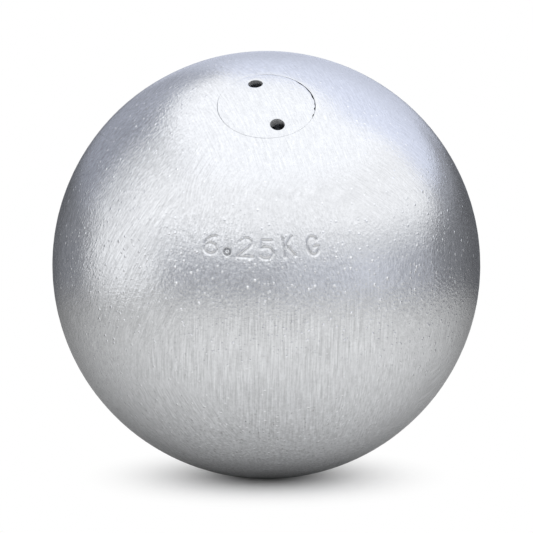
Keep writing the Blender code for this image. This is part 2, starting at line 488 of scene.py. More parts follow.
def machined_iron(name, hex_colour, roughness, feed):
    """Bare cast iron as the tool left it: dark grey and softly glossy. Rings one feed apart show
    only from near by, and clumps of graphite are drawn about ten times as coarse to show."""
    material, tree, shader = new_material(name)
    place = add_node(tree, "TexCoord", output="Object")
    height = add_node(tree, "VectorMath", (place, PLUG_AXIS), operation="DOT_PRODUCT")
    rings = add_node(tree, "Math", (height, 2 * math.pi / feed), operation="MULTIPLY")
    rings = add_node(tree, "Math", (rings,), operation="SINE")
    rings = add_node(tree, "Math", (rings, 0.006 * MM), operation="MULTIPLY")
    clumps = {"Vector": place, "Scale": 1 / (0.9 * MM), "Detail": 4.0}
    graphite = add_node(tree, "TexNoise", clumps)
    surface = add_node(tree, "Math", (graphite, 0.02 * MM, rings), operation="MULTIPLY_ADD")
    bump = add_node(tree, "Bump", {"Strength": 1.0, "Distance": 1.0, "Height": surface})
    dark, light = [shade(linear(hex_colour), times) for times in FLECK_TONES]
    colour = add_node(tree, "Mix", {"Factor": graphite, "A": dark, "B": light}, data_type="RGBA")
    set_inputs(shader, {"Base Color": colour, "Normal": bump})
    set_inputs(shader, {"Metallic": 0.9, "Roughness": roughness})
    return material


def mottled(name, size, detail, tones, metallic, roughness, bump_strength=0, bump_height=0):
    """A material whose two tones and relief change over spots of this size."""
    material, tree, shader = new_material(name)
    place = add_node(tree, "TexCoord", output="Object")
    spots = add_node(tree, "TexNoise", {"Vector": place, "Scale": 1 / size, "Detail": detail})
    mixed = {"Factor": spots, "A": tones[0], "B": tones[1]}
    colour = add_node(tree, "Mix", mixed, data_type="RGBA")
    set_inputs(shader, {"Base Color": colour, "Metallic": metallic, "Roughness": roughness})
    if bump_strength:
        relief = {"Strength": bump_strength, "Distance": bump_height, "Height": spots}
        set_inputs(shader, {"Normal": add_node(tree, "Bump", relief)})
    return material


def dried_paint(paint):
    """Aluminium paint that dried thick in a hole, where the brush didn't lay its flakes flat: dull
    grey, and lumpy."""
    tones = (shade(paint.colour, 0.45), shade(paint.colour, 0.85))
    return mottled("dried aluminium paint", 0.7 * MM, 3.0, tones, 0.2, 0.5, 1.0, 0.2 * MM)


def annealed_copper():
    """Copper softened by heat: warm and dull, with a breath of brown tarnish."""
    tones = (linear("#A8663F"), linear("#C98A63"))
    return mottled("annealed copper", 3 * MM, 4.0, tones, 1.0, 0.36)


def sheet_rubber():
    """Black rubber, cut from sheet: matt, with the bloom of its cloth-pressed face, drawn coarser
    than the cloth's weave to show."""
    tones = (linear("#1F1F20"), linear("#2E2E2F"))
    return mottled("sheet rubber", 0.6 * MM, 3.0, tones, 0.0, 0.8, 0.6, 0.03 * MM)


def cast_lead():
    """Lead as poured: dull blue-grey, softly frosted as its skin set."""
    tones = (linear("#5E6167"), linear("#868A91"))
    return mottled("cast lead", 2 * MM, 5.0, tones, 0.85, 0.55, 0.8, 0.08 * MM)


def soft_corner(first, corner, last, steps):
    """Points that round a corner from first to last, with both. Coordinates may be arrays."""
    points = []
    for t in [i / steps for i in range(steps + 1)]:
        weights = ((1 - t) ** 2, 2 * t * (1 - t), t**2)
        points.append(
            tuple(sum(w * c for w, c in zip(weights, row)) for row in zip(first, corner, last))
        )
    return points


def thread_radius(turn, height, crest, root, crest_flat):
    """Radius of a right-handed thread whose ridge or groove widens at its flanks from the crest's
    flat to the root. Turn is an array."""
    softening = THREAD_PITCH / THREAD_ROWS_A_TURN / 2
    radius = 0.0
    for shift in (-softening, 0.0, softening):
        place = (height + shift) / THREAD_PITCH - turn / (2 * math.pi)
        distance = np.abs(place - np.round(place)) * THREAD_PITCH
        drop = np.maximum(distance - crest_flat / 2, 0.0) / THREAD_SLOPE
        radius = radius + (crest - np.minimum(drop, crest - root)) / 3
    return radius


def ring_at(radius, height, turns):
    """Points round the plug's axis. Turns, from the right, is an array, and the rest may be."""
    flat = np.broadcast_arrays(radius * np.cos(turns), radius * np.sin(turns), height)
    return list(zip(*flat))


def lattice_faces(rows, columns, first=0):
    """The faces between closed rings of points, where ring 0 starts at the first point."""
    faces = []
    for row in range(rows - 1):
        upper, lower = first + row * columns, first + (row + 1) * columns
        for column in range(columns):
            following = (column + 1) % columns
            faces.append((upper + column, lower + column, lower + following, upper + following))
    return faces


def fan_faces(ring_start, columns, pole, outward):
    """Triangles that close a ring to its middle point."""
    faces = []
    for column in range(columns):
        a, b = ring_start + column, ring_start + (column + 1) % columns
        faces.append((pole, a, b) if outward else (pole, b, a))
    return faces


# Edges that turn by more than this stay sharp
SHARP_ANGLE = math.radians(50)


def smooth_object(name, points, faces, materials, face_materials):
    """A piece from its points in the plug's own frame, shaded smooth but for its sharp edges."""
    mesh = bpy.data.meshes.new(name)
    mesh.from_pydata([tuple(point) for point in points], [], faces)
    for material in materials:
        mesh.materials.append(material)
    mesh.polygons.foreach_set("material_index", face_materials)
    mesh.transform(PLUG_FRAME)
    mesh.shade_smooth()
    mesh.set_sharp_from_angle(angle=SHARP_ANGLE)
    mesh.validate()
    piece = bpy.data.objects.new(name, mesh)
    bpy.context.scene.collection.objects.link(piece)
    return piece


def arc_points(centre, radii, start, end, steps=14):
    """Points of a stretch of an ellipse, with angles in degrees, anticlockwise from the right."""
    points = []
    for i in range(steps + 1):
        angle = math.radians(start + (end - start) * i / steps)
        x, y = radii[0] * math.cos(angle), radii[1] * math.sin(angle)
        points.append((centre[0] + x, centre[1] + y))
    return points


# The plain one-stroke figures of letter punches, in a box 1 high whose middle is the origin
PLAIN_FIGURES = {
    "6": [
        arc_points((0.22, -0.06), (0.58, 0.55), 98, 178),
        arc_points((0, -0.2), (0.33, 0.27), 0, 360, 24),
    ],
    "2": [arc_points((0, 0.24), (0.31, 0.25), 165, -42) + [(-0.36, -0.48), (0.38, -0.48)]],
    "5": [
        [(0.28, 0.48), (-0.22, 0.48), (-0.26, 0.06)]
        + arc_points((0, -0.17), (0.34, 0.3), 118, -140)
    ],
    "K": [
        [(-0.24, 0.5), (-0.24, -0.5)],
        [(0.25, 0.5), (-0.22, -0.05)],
        [(-0.08, 0.1), (0.28, -0.5)],
    ],
    "G": [arc_points((0, 0), (0.29, 0.48), 38, 322, 22) + [(0.27, -0.06), (0.04, -0.06)]],
}
# The stamped mass: figure, place along its circle and down from the plug's axis in millimetres, and
# its tilt in degrees and depth against the others, because each punch was struck by hand
STAMPED_FIGURES = (
    ("6", -14.4, 44.7, -2.0, 1.0),
    ("2", -5.4, 44.0, 2.0, 0.95),
    ("5", -0.1, 44.3, -1.5, 1.05),
    ("K", 5.7, 43.8, 3.0, 1.15),
    ("G", 12.2, 44.5, -2.0, 1.15),
)
# The point between the figures is a small ring with a shallower dot in it
POINT_PLACE = complex(-10.0, -45.6) * MM
POINT_RADIUS = 0.8 * MM
POINT_DEPTH = 0.5 * MM
POINT_HALF_STROKE = 0.42 * MM
DOT_RADIUS = 0.3 * MM
DOT_SHARE = 0.6
# The circle round the plug's axis on which places along the mark are measured
MARK_CIRCLE = 44.2 * MM


def distance_to_line(places, line):
    """Distance of places, an array, to a line of straight stretches, all as complex numbers."""
    nearest = np.full(places.shape, np.inf)
    for start, end in zip(line, line[1:]):
        run = end - start
        share = np.clip(((places - start) * run.conjugate()).real / abs(run) ** 2, 0, 1)
        nearest = np.minimum(nearest, np.abs(places - start - share * run))
    return nearest


def groove(distance, half_width):
    """The round profile of a stamped stroke: 1 in its middle and 0 at its edges."""
    return np.cos(np.clip(distance / half_width, 0, 1) * math.pi / 2) ** 2


def stamped_depth(turns, arcs, ball):
    """How deep the stamped mark sinks the surface at places given by their turn from the viewer's
    side and their arc from the plug's axis. Both are arrays."""
    places = turns * BALL_RADIUS * math.sin(MARK_CIRCLE / BALL_RADIUS) - 1j * arcs
    depth = np.zeros(places.shape)
    for figure, place, drop, tilt, strength in STAMPED_FIGURES:
        middle = complex(place, -drop) * MM
        size = cmath.rect(ball.mark_height, math.radians(tilt))
        for line in PLAIN_FIGURES[figure]:
            away = distance_to_line(places, [middle + complex(*point) * size for point in line])
            stroke = groove(away, ball.mark_stroke / 2) * ball.mark_depth * strength
            depth = np.maximum(depth, stroke)
    away = np.abs(places - POINT_PLACE)
    ring = groove(np.abs(away - POINT_RADIUS), POINT_HALF_STROKE)
    dot = groove(away, DOT_RADIUS) * DOT_SHARE
    return np.maximum(depth, np.maximum(ring, dot) * POINT_DEPTH)


def graded(start, end, fine_start, fine_end, coarse, fine):
    """Values from start to end: fine steps between the fine bounds, and coarse ones elsewhere."""
    runs = ((start, fine_start, coarse), (fine_start, fine_end, fine), (fine_end, end, coarse))
    values = []
    for low, high, step in runs:
        count = max(1, round((high - low) / step))
        values += [low + (high - low) * i / count for i in range(count)]
    return np.array(values + [end])


def bore_rings(turns, rim_round):
    """The ball's bore from the drilled end up to the rim: the height of the drill's tip, each
    ring's radius and height, and the last one's arc from the plug's axis."""
    drill_angle = math.radians(59)
    drill_slope = math.tan(drill_angle)
    tip = reach("lead_slug")[0] - CLEARANCE / math.sin(drill_angle)
    chamfer = 0.4 * MM
    relief = MOUTH_RADIUS + 0.4 * MM
    thread_start = SEAT_HEIGHT + 2.0 * MM
    rim_height = math.sqrt(BALL_RADIUS**2 - MOUTH_RADIUS**2)
    thread_end = rim_height - 1.4 * MM
    rings = [
        (CHAMBER_RADIUS * 0.5, tip + CHAMBER_RADIUS * 0.5 / drill_slope),
        (CHAMBER_RADIUS, tip + CHAMBER_RADIUS / drill_slope),
        (CHAMBER_RADIUS, SEAT_HEIGHT - chamfer),
        (CHAMBER_RADIUS + chamfer, SEAT_HEIGHT),
        (relief, SEAT_HEIGHT),
        (relief, thread_start),
    ]
    groove_bottom = MOUTH_RADIUS + 0.1 * MM
    groove_top = MOUTH_RADIUS - 1.08 * MM
    groove_flat = 0.25 * MM
    rows = round((thread_end - thread_start) / THREAD_PITCH * THREAD_ROWS_A_TURN)
    for i in range(1, rows + 1):
        height = thread_start + (thread_end - thread_start) * i / rows
        radius = thread_radius(turns, height, groove_bottom, groove_top, groove_flat)
        # both ends of the thread run out on a chamfer
        lead_in = relief - (height - thread_start)
        run_out = MOUTH_RADIUS - (thread_end - height) * MOUTH_RUN_OUT
        rings.append((np.maximum(radius, max(lead_in, run_out)), height))
    rings.append((MOUTH_RADIUS, thread_end + 0.05 * MM))
    wall = (MOUTH_RADIUS, rim_height - rim_round)
    arc = math.asin(MOUTH_RADIUS / BALL_RADIUS) + rim_round / BALL_RADIUS
    outside = (BALL_RADIUS * math.sin(arc), BALL_RADIUS * math.cos(arc))
    rings += soft_corner(wall, (MOUTH_RADIUS, rim_height), outside, EDGE_STEPS)
    return tip, rings, arc


def waves(directions, height):
    """Shallow waves of this height over the ball, a few centimetres long."""
    steady = np.random.default_rng(7)
    count = 14
    total = np.zeros(directions.shape[:-1])
    for _ in range(count):
        normal = steady.normal(size=3)
        pace = steady.uniform(9, 21) / np.linalg.norm(normal)
        total += np.sin(directions @ normal * pace + steady.uniform(0, 2 * math.pi))
    return total * height / math.sqrt(count)


def build_ball(ball, paint):
    """The ball: a threaded bore, a painted rim and a turned outside with the stamped mass."""
    # turns start at the viewer's side, and are fine across the mark
    fine = MARK_STEP / (BALL_RADIUS * math.sin(MARK_CIRCLE / BALL_RADIUS))
    turns = graded(-math.pi, math.pi, MARK_LEFT, MARK_RIGHT, COLUMN_STEP, fine)[:-1]
    columns = len(turns)
    tip, bore, rim_arc = bore_rings(turns, ball.rim_round)
    mark_arcs = (MARK_UPPER / BALL_RADIUS, MARK_LOWER / BALL_RADIUS)
    arcs = graded(rim_arc, math.pi, *mark_arcs, ROW_STEP, MARK_STEP / BALL_RADIUS)[1:-1]
    turn, arc = np.meshgrid(turns, arcs)
    directions = np.stack(
        [np.sin(arc) * np.sin(turn), -np.sin(arc) * np.cos(turn), np.cos(arc)], axis=-1
    )
    # the waves fade out at the rim, which is true where the plug meets it
    fade = np.clip((arc - rim_arc) * BALL_RADIUS / (8 * MM), 0, 1)
    surface = BALL_RADIUS + (waves(directions, ball.unevenness) - ball.unevenness * 2) * fade
    stamp = stamped_depth(turn, arc * BALL_RADIUS, ball)
    surface -= stamp
    points = [(0, 0, tip)]
    for radius, height in bore:
        points += ring_at(radius, height, turns - math.pi / 2)
    points += (directions * surface[..., None]).reshape(-1, 3).tolist()
    points.append((0, 0, -BALL_RADIUS))
    rows = len(bore) + len(arcs)
    faces = fan_faces(1, columns, 0, False)
    faces += lattice_faces(rows, columns, 1)
    faces += fan_faces(1 + (rows - 1) * columns, columns, len(points) - 1, True)
    # the paint starts above the thread, on the rim's wall
    bare = columns * (len(bore) - EDGE_STEPS - 1)
    materials = [
        aluminium_paint("brushed aluminium paint", paint),
        machined_iron("bored cast iron", "#5B5D60", 0.5, 0.25 * MM),
    ]
    kinds = [1] * bare + [0] * (len(faces) - bare)
    piece = smooth_object("shot_ball", points, faces, materials, kinds)
    # painted shade in the stamped strokes, which the paint reads: darker the deeper they go
    stamp_shade = np.zeros(len(points))
    stamp_shade[-1 - stamp.size : -1] = np.clip(stamp.ravel() / ball.mark_depth, 0, 1) ** 2
    depths = piece.data.attributes.new(STAMP_ATTRIBUTE, "FLOAT", "POINT")
    depths.data.foreach_set("value", stamp_shade)
    return piece


def ring_points(centre, radius, count, start=0.0):
    """Points round a circle, anticlockwise."""
    return [
        (
            centre[0] + radius * math.cos(start + 2 * math.pi * i / count),
            centre[1] + radius * math.sin(start + 2 * math.pi * i / count),
        )
        for i in range(count)
    ]


def face_mesh(edge, holes, hole_radius):
    """Points and triangles of the plug's face, seen along its axis, between its edge and the two
    holes. The edge comes first in the points, and then each hole's ring."""
    points = list(edge)
    rings = [list(range(len(edge)))]
    for hole in holes:
        start = len(points)
        points += ring_points(hole, hole_radius, HOLE_STEPS)
        rings.append(list(range(start, len(points))))
    spacing = 0.6 * MM
    room = hole_radius + spacing * 0.6
    # each ring starts further round than the one inside it, so that no points line up
    twist = 0.37
    number = 1
    while number * spacing <= MOUTH_RADIUS - spacing:
        for point in ring_points((0, 0), number * spacing, 6 * number, number * twist):
            if all(math.dist(point, hole) > room for hole in holes):
                points.append(point)
        number += 1
    edges = [(ring[i], ring[(i + 1) % len(ring)]) for ring in rings for i in range(len(ring))]
    found = delaunay_2d_cdt([Vector(point) for point in points], edges, [], 1, 1e-9)
    if len(found[0]) != len(points):
        raise RuntimeError("The plug's face has points that coincide.")
    triangles = []
    for triangle in found[2]:
        middle = [sum(found[0][corner][axis] for corner in triangle) / 3 for axis in (0, 1)]
        if all(math.dist(middle, hole) > hole_radius * 0.995 for hole in holes):
            triangles.append(tuple(triangle))
    return points, rings, triangles


# Where the paint over the seam has cracked open: turn from the right, half width, both in degrees,
# and how wide it gapes against the widest
SEAM_CRACKS = (
    (92, 4, 0.3),
    (80, 4, 0.35),
    (62, 6, 0.3),
    (45, 7, 0.85),
    (30, 6, 0.75),
    (17, 6, 1.0),
    (3, 4, 0.6),
    (-5, 2.5, 1.0),
    (-17, 2.2, 0.7),
)
# Where the paint has filled the seam, as turn and half width in degrees, and how much of it is full
FILLED_STRETCHES = ((-46, 26), (138, 34))
FILLED_SHARE = 0.8
# Where the paint rounds the plug's edge most, the same way, and how many times more than elsewhere
THICK_STRETCH = (-125, 50)
THICK_TIMES = 1.3
# How much deeper the paint ends at the left of the right and the left hole, per metre across
RIGHT_HOLE_SLANT = 0.42
LEFT_HOLE_SLANT = 0.2
# The bare part of a pin hole: shares of its radius and of its height from its floor to the paint
BARE_HOLE = ((1, 0.98), (1, 0.66), (1, 0.33), (1, 0.03), (0.97, 0), (0.5, 0))
# The plug's materials, in the order of its slots
PAINTED, DRILLED, TURNED, DRIED = range(4)


def swell(turns, middle, half_width, power=2):
    """A value that falls off round its middle, from 1. Middle and half width are in degrees."""
    away = (turns - math.radians(middle) + math.pi) % (2 * math.pi) - math.pi
    return np.exp(-((away / math.radians(half_width)) ** power))


def seam_radii(plug, turns):
    """How far out the plug's land and its face reach, where the paint over the seam has cracked,
    filled it or rounded its edge."""
    open_share = 1 - FILLED_SHARE * sum(swell(turns, *stretch, 4) for stretch in FILLED_STRETCHES)
    ripple = 0.6 + 0.4 * np.sin(turns * 11 + 1.3) ** 2
    gap = plug.seam_gap * ripple * open_share
    for turn, half_width, share in SEAM_CRACKS:
        gap = gap + plug.seam_crack * share * swell(turns, turn, half_width)
    land = MOUTH_RADIUS - gap
    thick = 1 + THICK_TIMES * swell(turns, *THICK_STRETCH)
    return land, land - plug.edge_round * thick * open_share


def hole_rings(plug, hole, rim):
    """The rings of a pin hole below its rim, each with its material: an edge softened by paint, a
    wall of dried paint, and the drilled wall and flat floor."""
    bare_radius = plug.pin_hole_diameter / 2
    painted_radius = bare_radius - plug.hole_paint
    axis_height = math.sqrt(BALL_RADIUS**2 - (plug.pin_hole_spacing / 2) ** 2)
    floor = axis_height - plug.pin_hole_depth
    x, y, z = np.transpose(rim)
    scale = painted_radius / np.hypot(x - hole[0], y - hole[1])
    out_x, out_y = (x - hole[0]) * scale, (y - hole[1]) * scale
    wall = (hole[0] + out_x, hole[1] + out_y)
    edge = soft_corner((x, y, z), (*wall, z), (*wall, z - plug.hole_round), EDGE_STEPS)
    rings = [(ring, PAINTED) for ring in edge[1:]]
    # the paint reaches further down at the left, where the brush came in
    slant = RIGHT_HOLE_SLANT if hole[0] > 0 else LEFT_HOLE_SLANT
    paint_end = axis_height - plug.hole_paint_depth + out_x * slant
    rings.append(((*wall, paint_end), DRIED))
    for radius_share, height_share in BARE_HOLE:
        widen = bare_radius / painted_radius * radius_share
        height = floor + (paint_end - floor) * height_share
        rings.append(((hole[0] + out_x * widen, hole[1] + out_y * widen, height), DRILLED))
    rings = [(list(zip(*ring)), kind) for ring, kind in rings]
    return rings + [([(*hole, floor)], DRILLED)]


def side_rings(plug, turns, land, face_edge):
    """The rings of the plug's side from its face down to the spigot's end, with their materials."""
    edge_height = np.sqrt(BALL_RADIUS**2 - land**2)
    face_height = np.sqrt(BALL_RADIUS**2 - face_edge**2)
    wall = (land, edge_height - (land - face_edge))
    side = soft_corner((face_edge, face_height), (land, edge_height), wall, EDGE_STEPS)[1:]
    thread_start = float(edge_height.min()) - 1.0 * MM
    thread_crest = MOUTH_RADIUS - 0.1 * MM
    thread_root = MOUTH_RADIUS - 1.3 * MM
    crest_flat = 0.2 * MM
    run_out_height = thread_start - 0.9 * MM
    end_chamfer = 1.2 * MM
    side.append((land, thread_start))
    rows = round((thread_start - SHOULDER_HEIGHT) / THREAD_PITCH * THREAD_ROWS_A_TURN)
    for i in range(1, rows + 1):
        height = thread_start + (SHOULDER_HEIGHT - thread_start) * i / rows
        # turns run from the right here and from the viewer's side on the ball
        radius = thread_radius(turns + math.pi / 2, height, thread_crest, thread_root, crest_flat)
        run_out = thread_root + max(0.0, height - run_out_height) * PLUG_RUN_OUT
        tip_limit = thread_crest - max(0.0, end_chamfer - (height - SHOULDER_HEIGHT))
        radius = np.minimum(np.maximum(radius, min(run_out, thread_crest)), tip_limit)
        side.append((radius, height))
    neck_radius = PAD_RADIUS - 0.7 * MM
    soft = 0.15 * MM
    side += [
        (neck_radius + soft, SHOULDER_HEIGHT),
        (neck_radius, SHOULDER_HEIGHT - soft),
        (neck_radius, SEAT_HEIGHT + 0.1 * MM),
        (neck_radius + 0.1 * MM, SEAT_HEIGHT),
        (PAD_RADIUS - soft, SEAT_HEIGHT),
        (PAD_RADIUS, SEAT_HEIGHT - soft),
        (PAD_RADIUS, SPIGOT_END + SPIGOT_CHAMFER),
        (PAD_RADIUS - SPIGOT_CHAMFER, SPIGOT_END),
        (PAD_RADIUS * 0.5, SPIGOT_END),
    ]
    kinds = [PAINTED] * EDGE_STEPS + [TURNED] * (len(side) - EDGE_STEPS)
    rings = [(ring_at(*ring, turns), kind) for ring, kind in zip(side, kinds)]
    return rings + [([(0, 0, SPIGOT_END)], TURNED)]


def join_rings(points, faces, face_materials, ring, new_rings, inward):
    """Joins new rings, each with its material, to a ring of points that is there. The last one is a
    single point, which closes them."""
    for new_ring, kind in new_rings:
        first, count = len(points), len(new_ring)
        points.extend(new_ring)
        for i, corner in enumerate(ring):
            following = ring[(i + 1) % len(ring)]
            if count == 1:
                corners = (corner, following, first) if inward else (following, corner, first)
            else:
                corners = (corner, following, first + (i + 1) % count, first + i)
                corners = corners if inward else corners[::-1]
            faces.append(corners)
            face_materials.append(kind)
        ring = list(range(first, first + count))


def build_plug(plug, paint):
    """The plug: a face that carries on the ball's round, two pin holes, a thin land at its edge,
    the thread, a neck for the washer, and a lip that keeps it."""
    turns = np.linspace(0, 2 * math.pi, PLUG_STEPS, endpoint=False)
    land, face_edge = seam_radii(plug, turns)
    reach_out = plug.pin_hole_spacing / 2
    sine, cosine = math.sin(plug.pin_hole_turn), math.cos(plug.pin_hole_turn)
    holes = [(-side * reach_out * sine, side * reach_out * cosine) for side in (1, -1)]
    edge = list(zip(face_edge * np.cos(turns), face_edge * np.sin(turns)))
    rim_radius = plug.pin_hole_diameter / 2 - plug.hole_paint + plug.hole_round
    flat, rings, faces = face_mesh(edge, holes, rim_radius)
    points = [(x, y, math.sqrt(BALL_RADIUS**2 - x * x - y * y)) for x, y in flat]
    face_materials = [PAINTED] * len(faces)
    for hole, ring in zip(holes, rings[1:]):
        new_rings = hole_rings(plug, hole, [points[corner] for corner in ring])
        join_rings(points, faces, face_materials, ring, new_rings, True)
    new_rings = side_rings(plug, turns, land, face_edge)
    join_rings(points, faces, face_materials, rings[0], new_rings, False)
    materials = [
        aluminium_paint("brushed aluminium paint on plug", paint),
        machined_iron("drilled iron", "#96989C", 0.3, 0.12 * MM),
        machined_iron("turned cast iron", "#6A6C70", 0.42, 0.2 * MM),
        dried_paint(paint),
    ]
    return smooth_object("threaded_plug", points, faces, materials, face_materials)


def build_pad(pad):
    """The rubber pad under the plug: its side bulges, and the spigot has sunk into its top."""
    base, top = reach("packing_pad")
    radius = PAD_RADIUS
    spigot_edge = radius - SPIGOT_CHAMFER
    edge = 0.5 * MM
    # half of the profile, from the middle of the underside round to the middle of the top
    profile = [(radius * 0.5, base), (radius - 0.8 * MM, base)]
    profile += soft_corner((radius - edge, base), (radius, base), (radius, base + edge), 4)
    swells = 10
    low, high = base + edge, top - 0.4 * MM
    for share in [step / swells for step in range(1, swells)]:
        side = radius + pad.bulge * math.sin(math.pi * share)
        profile.append((side, low + (high - low) * share))
    lip = top + pad.imprint
    dip = top - 0.02 * MM
    profile += soft_corner((radius, high), (radius, lip), (radius - 0.3 * MM, lip), 4)
    inner = (spigot_edge + 0.12 * MM, lip)
    profile += soft_corner(inner, (spigot_edge, lip), (spigot_edge, top), 3)
    profile += [(spigot_edge - 0.25 * MM, dip), (radius * 0.5, dip)]
    turns = np.linspace(0, 2 * math.pi, PAD_STEPS, endpoint=False)
    # the disc was cut by hand, a little out of round
    wobble = 1 + pad.wobble * np.sin(2 * turns + 0.7) + pad.wobble * 0.5 * np.sin(5 * turns)
    wobble = np.minimum(wobble, 1 + pad.wobble)
    points = [(0, 0, base)]
    for ring_radius, height in profile:
        points += ring_at(ring_radius * wobble, height, turns)
    points.append((0, 0, dip))
    # the profile runs upwards here, so the faces turn the other way than on the ball
    faces = fan_faces(1, PAD_STEPS, 0, False)
    faces += [face[::-1] for face in lattice_faces(len(profile), PAD_STEPS, 1)]
    faces += fan_faces(1 + (len(profile) - 1) * PAD_STEPS, PAD_STEPS, len(points) - 1, True)
    return smooth_object("rubber_pad", points, faces, [sheet_rubber()], [0] * len(faces))


class SHOTPUT_OT_ball(bpy.types.Operator):
    """Build the painted iron ball with its threaded bore and stamped mass"""

    bl_idname = "shotput.ball"
    bl_label = "Ball"

    def execute(self, context):
        piece = build_ball(context.scene.shot_ball, context.scene.shot_paint)
        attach(piece, "ball")
        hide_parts("ball_body")
        return {"FINISHED"}


class SHOTPUT_OT_plug(bpy.types.Operator):
    """Build the screw plug with its spanner holes and thread"""

    bl_idname = "shotput.plug"
    bl_label = "Screw plug"

    def execute(self, context):
        piece = build_plug(context.scene.shot_plug, context.scene.shot_paint)
        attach(piece, "plug")
        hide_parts("screw_plug")
        return {"FINISHED"}


class SHOTPUT_OT_pad(bpy.types.Operator):
    """Build the rubber pad that the plug squeezes onto the lead"""

    bl_idname = "shotput.pad"
    bl_label = "Rubber pad"

    def execute(self, context):
        piece = build_pad(context.scene.shot_pad)
        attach(piece, "ball")
        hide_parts("packing_pad")
        return {"FINISHED"}


def dress(node, material):
    """Gives a carried-over node its finish."""
    slots = frame["nodes"][node].data.materials
    slots.clear()
    slots.append(material)


class SHOTPUT_OT_ballast(bpy.types.Operator):
    """Finish the copper washer and the lead inside the ball"""

    bl_idname = "shotput.ballast"
    bl_label = "Washer and lead"

    def execute(self, context):
        dress("sealing_washer", annealed_copper())
        lead = cast_lead()
        for node in ("lead_slug", "trim_disc_1", "trim_disc_2", "trim_disc_3"):
            dress(node, lead)
        return {"FINISHED"}


# The floor, in metres from where the ball rests: where its shadow gives way to plain white
SHADOW_FADE = (0.002, 0.053)
# Painted shade on the floor, which only the ball's gloss sees: most light in this direction, less
# the other way, with the cosines to it and the shares of light, and darker close under the ball
# and far off, with the distances and the shares there
LIT_DIRECTION = (0.17, -0.98, 0)
LIT_RANGE = (-1.0, 0.8, 0.42, 1.07)
FLOOR_SHADES = ((0.0, 0.03, 0.3, 1.0), (0.11, 0.34, 1.0, 0.7))
# How far the floor reaches from there, each way
FLOOR_REACH = 8.0

# Daylight lamps: nearly white straight on, and cooler where the room gives their light back
LAMP_WHITE = "#FBFCFF"
ROOM_WHITE = "#EEF2FF"
SKY_WHITE = "#E4EAFD"
# The softbox overhead: its place, and its width and length, in metres
SOFTBOX_PLACE = (0.13, 0.0, 1.0)
SOFTBOX_SIZE = (1.95, 2.0)
# How bright the room is as light on the object, where 1 is white
ROOM_LIGHT = 0.82
# How far from the ball's centre the cards stand
CARD_DISTANCE = 0.34
CARD_STEPS = 12
# The cards and panels: name, the setting that gives its tone and how many times that, the azimuths
# and elevations between which it stands, in degrees, and its white
CARDS = (
    ("front_panel", "front_panel", 1, (-82, 106), (18, 45), LAMP_WHITE),
    ("left_panel", "front_panel", 0.9, (-97, -56), (-10, 18), LAMP_WHITE),
    ("front_left_card", "front_card", 1, (-50, 8), (-7.5, 7), ROOM_WHITE),
    ("front_right_card", "front_card", 1.45, (8, 40), (-8.5, 7), ROOM_WHITE),
    ("mid_right_card", "front_card", 1.75, (40, 64), (-8.5, 7), ROOM_WHITE),
    ("near_right_card", "right_card", 2.6, (64, 92), (-10, 9), ROOM_WHITE),
    ("right_card", "right_card", 1, (92, 122), (-10, 13), ROOM_WHITE),
    ("far_right_card", "right_card", 0.7, (122, 180), (-10, 12), ROOM_WHITE),
    ("right_mid_card", "right_card", 1.9, (104, 150), (12, 22), ROOM_WHITE),
    ("far_left_card", "left_card", 0.6, (-180, -138), (-10, 12), ROOM_WHITE),
    ("left_card", "left_card", 1.1, (-138, -101), (-10, 14), ROOM_WHITE),
    ("left_shade", "left_card", 1.8, (-138, -108), (14, 50), SKY_WHITE),
    ("left_back_shade", "left_card", 2.5, (-165, -138), (12, 48), SKY_WHITE),
    ("right_back_panel", "front_panel", 1.02, (108, 174), (22, 37), SKY_WHITE),
    ("high_back_shade", "front_panel", 1.06, (110, 195), (37, 61), SKY_WHITE),
    ("back_panel", "front_panel", 0.92, (174, 195), (12, 37), SKY_WHITE),
    ("low_back_panel", "front_panel", 0.95, (150, 174), (12, 22), SKY_WHITE),
)
# The camera's sensor in millimetres, how far it sees, and where it aims, which is a little below
# the ball's centre, because that shows a little above the picture's
SENSOR_WIDTH = 36
VIEW_LIMIT = 40
AIM = Vector((0.00005, 0, -0.00044))


def add_stage_mesh(name, corners, faces, material):
    """A plain mesh of the stage, such as the floor or a card, which isn't part of the object."""
    mesh = bpy.data.meshes.new(name)
    mesh.from_pydata(corners, [], faces)
    mesh.materials.append(material)
    piece = bpy.data.objects.new(name, mesh)
    bpy.context.scene.collection.objects.link(piece)
    return piece


def studio_floor():
    """White paper: it keeps the ball's soft shadow, and fades to plain white round it. Behind the
    ball, close under it and far off, the paper carries painted shade, which only the ball's gloss
    sees."""
    material, tree, shader = new_material("white paper floor")
    tree.nodes.remove(shader)
    place = add_node(tree, "TexCoord", output="Object")
    distance = add_node(tree, "VectorMath", (place,), operation="LENGTH")
    fade = (distance, *SHADOW_FADE)
    away = add_node(tree, "MapRange", fade, interpolation_type="SMOOTHSTEP")
    seen = add_node(tree, "LightPath", output="Is Camera Ray")
    share = add_node(tree, "Math", (away, seen), operation="MULTIPLY")
    # painted shade that only the ball's gloss sees: the paper darker behind the ball, close under
    # it and far off
    direction = add_node(tree, "VectorMath", (place,), operation="NORMALIZE")
    ahead = add_node(tree, "VectorMath", (direction, LIT_DIRECTION), operation="DOT_PRODUCT")
    painted_floor_light = add_node(tree, "MapRange", (ahead, *LIT_RANGE))
    for limits in FLOOR_SHADES:
        painted_floor_dimming = add_node(tree, "MapRange", (distance, *limits))
        painted_floor_light = add_node(tree, "Math", (painted_floor_light, painted_floor_dimming), operation="MULTIPLY")
    painted_floor_light = add_node(tree, "Mix", {"Factor": seen, "A": painted_floor_light, "B": 1.0}, data_type="FLOAT")
    paper = {0: linear("#F4F4F4")[:3], "Scale": painted_floor_light}
    paper = add_node(tree, "VectorMath", paper, operation="SCALE")
    paper = add_node(tree, "BsdfDiffuse", {"Color": paper})
    white = add_node(tree, "Emission", {"Color": linear("#FFFFFF"), "Strength": 1.0})
    mixed = add_node(tree, "MixShader", (share, paper, white))
    set_inputs(tree.nodes["Material Output"], {"Surface": mixed})
    return material


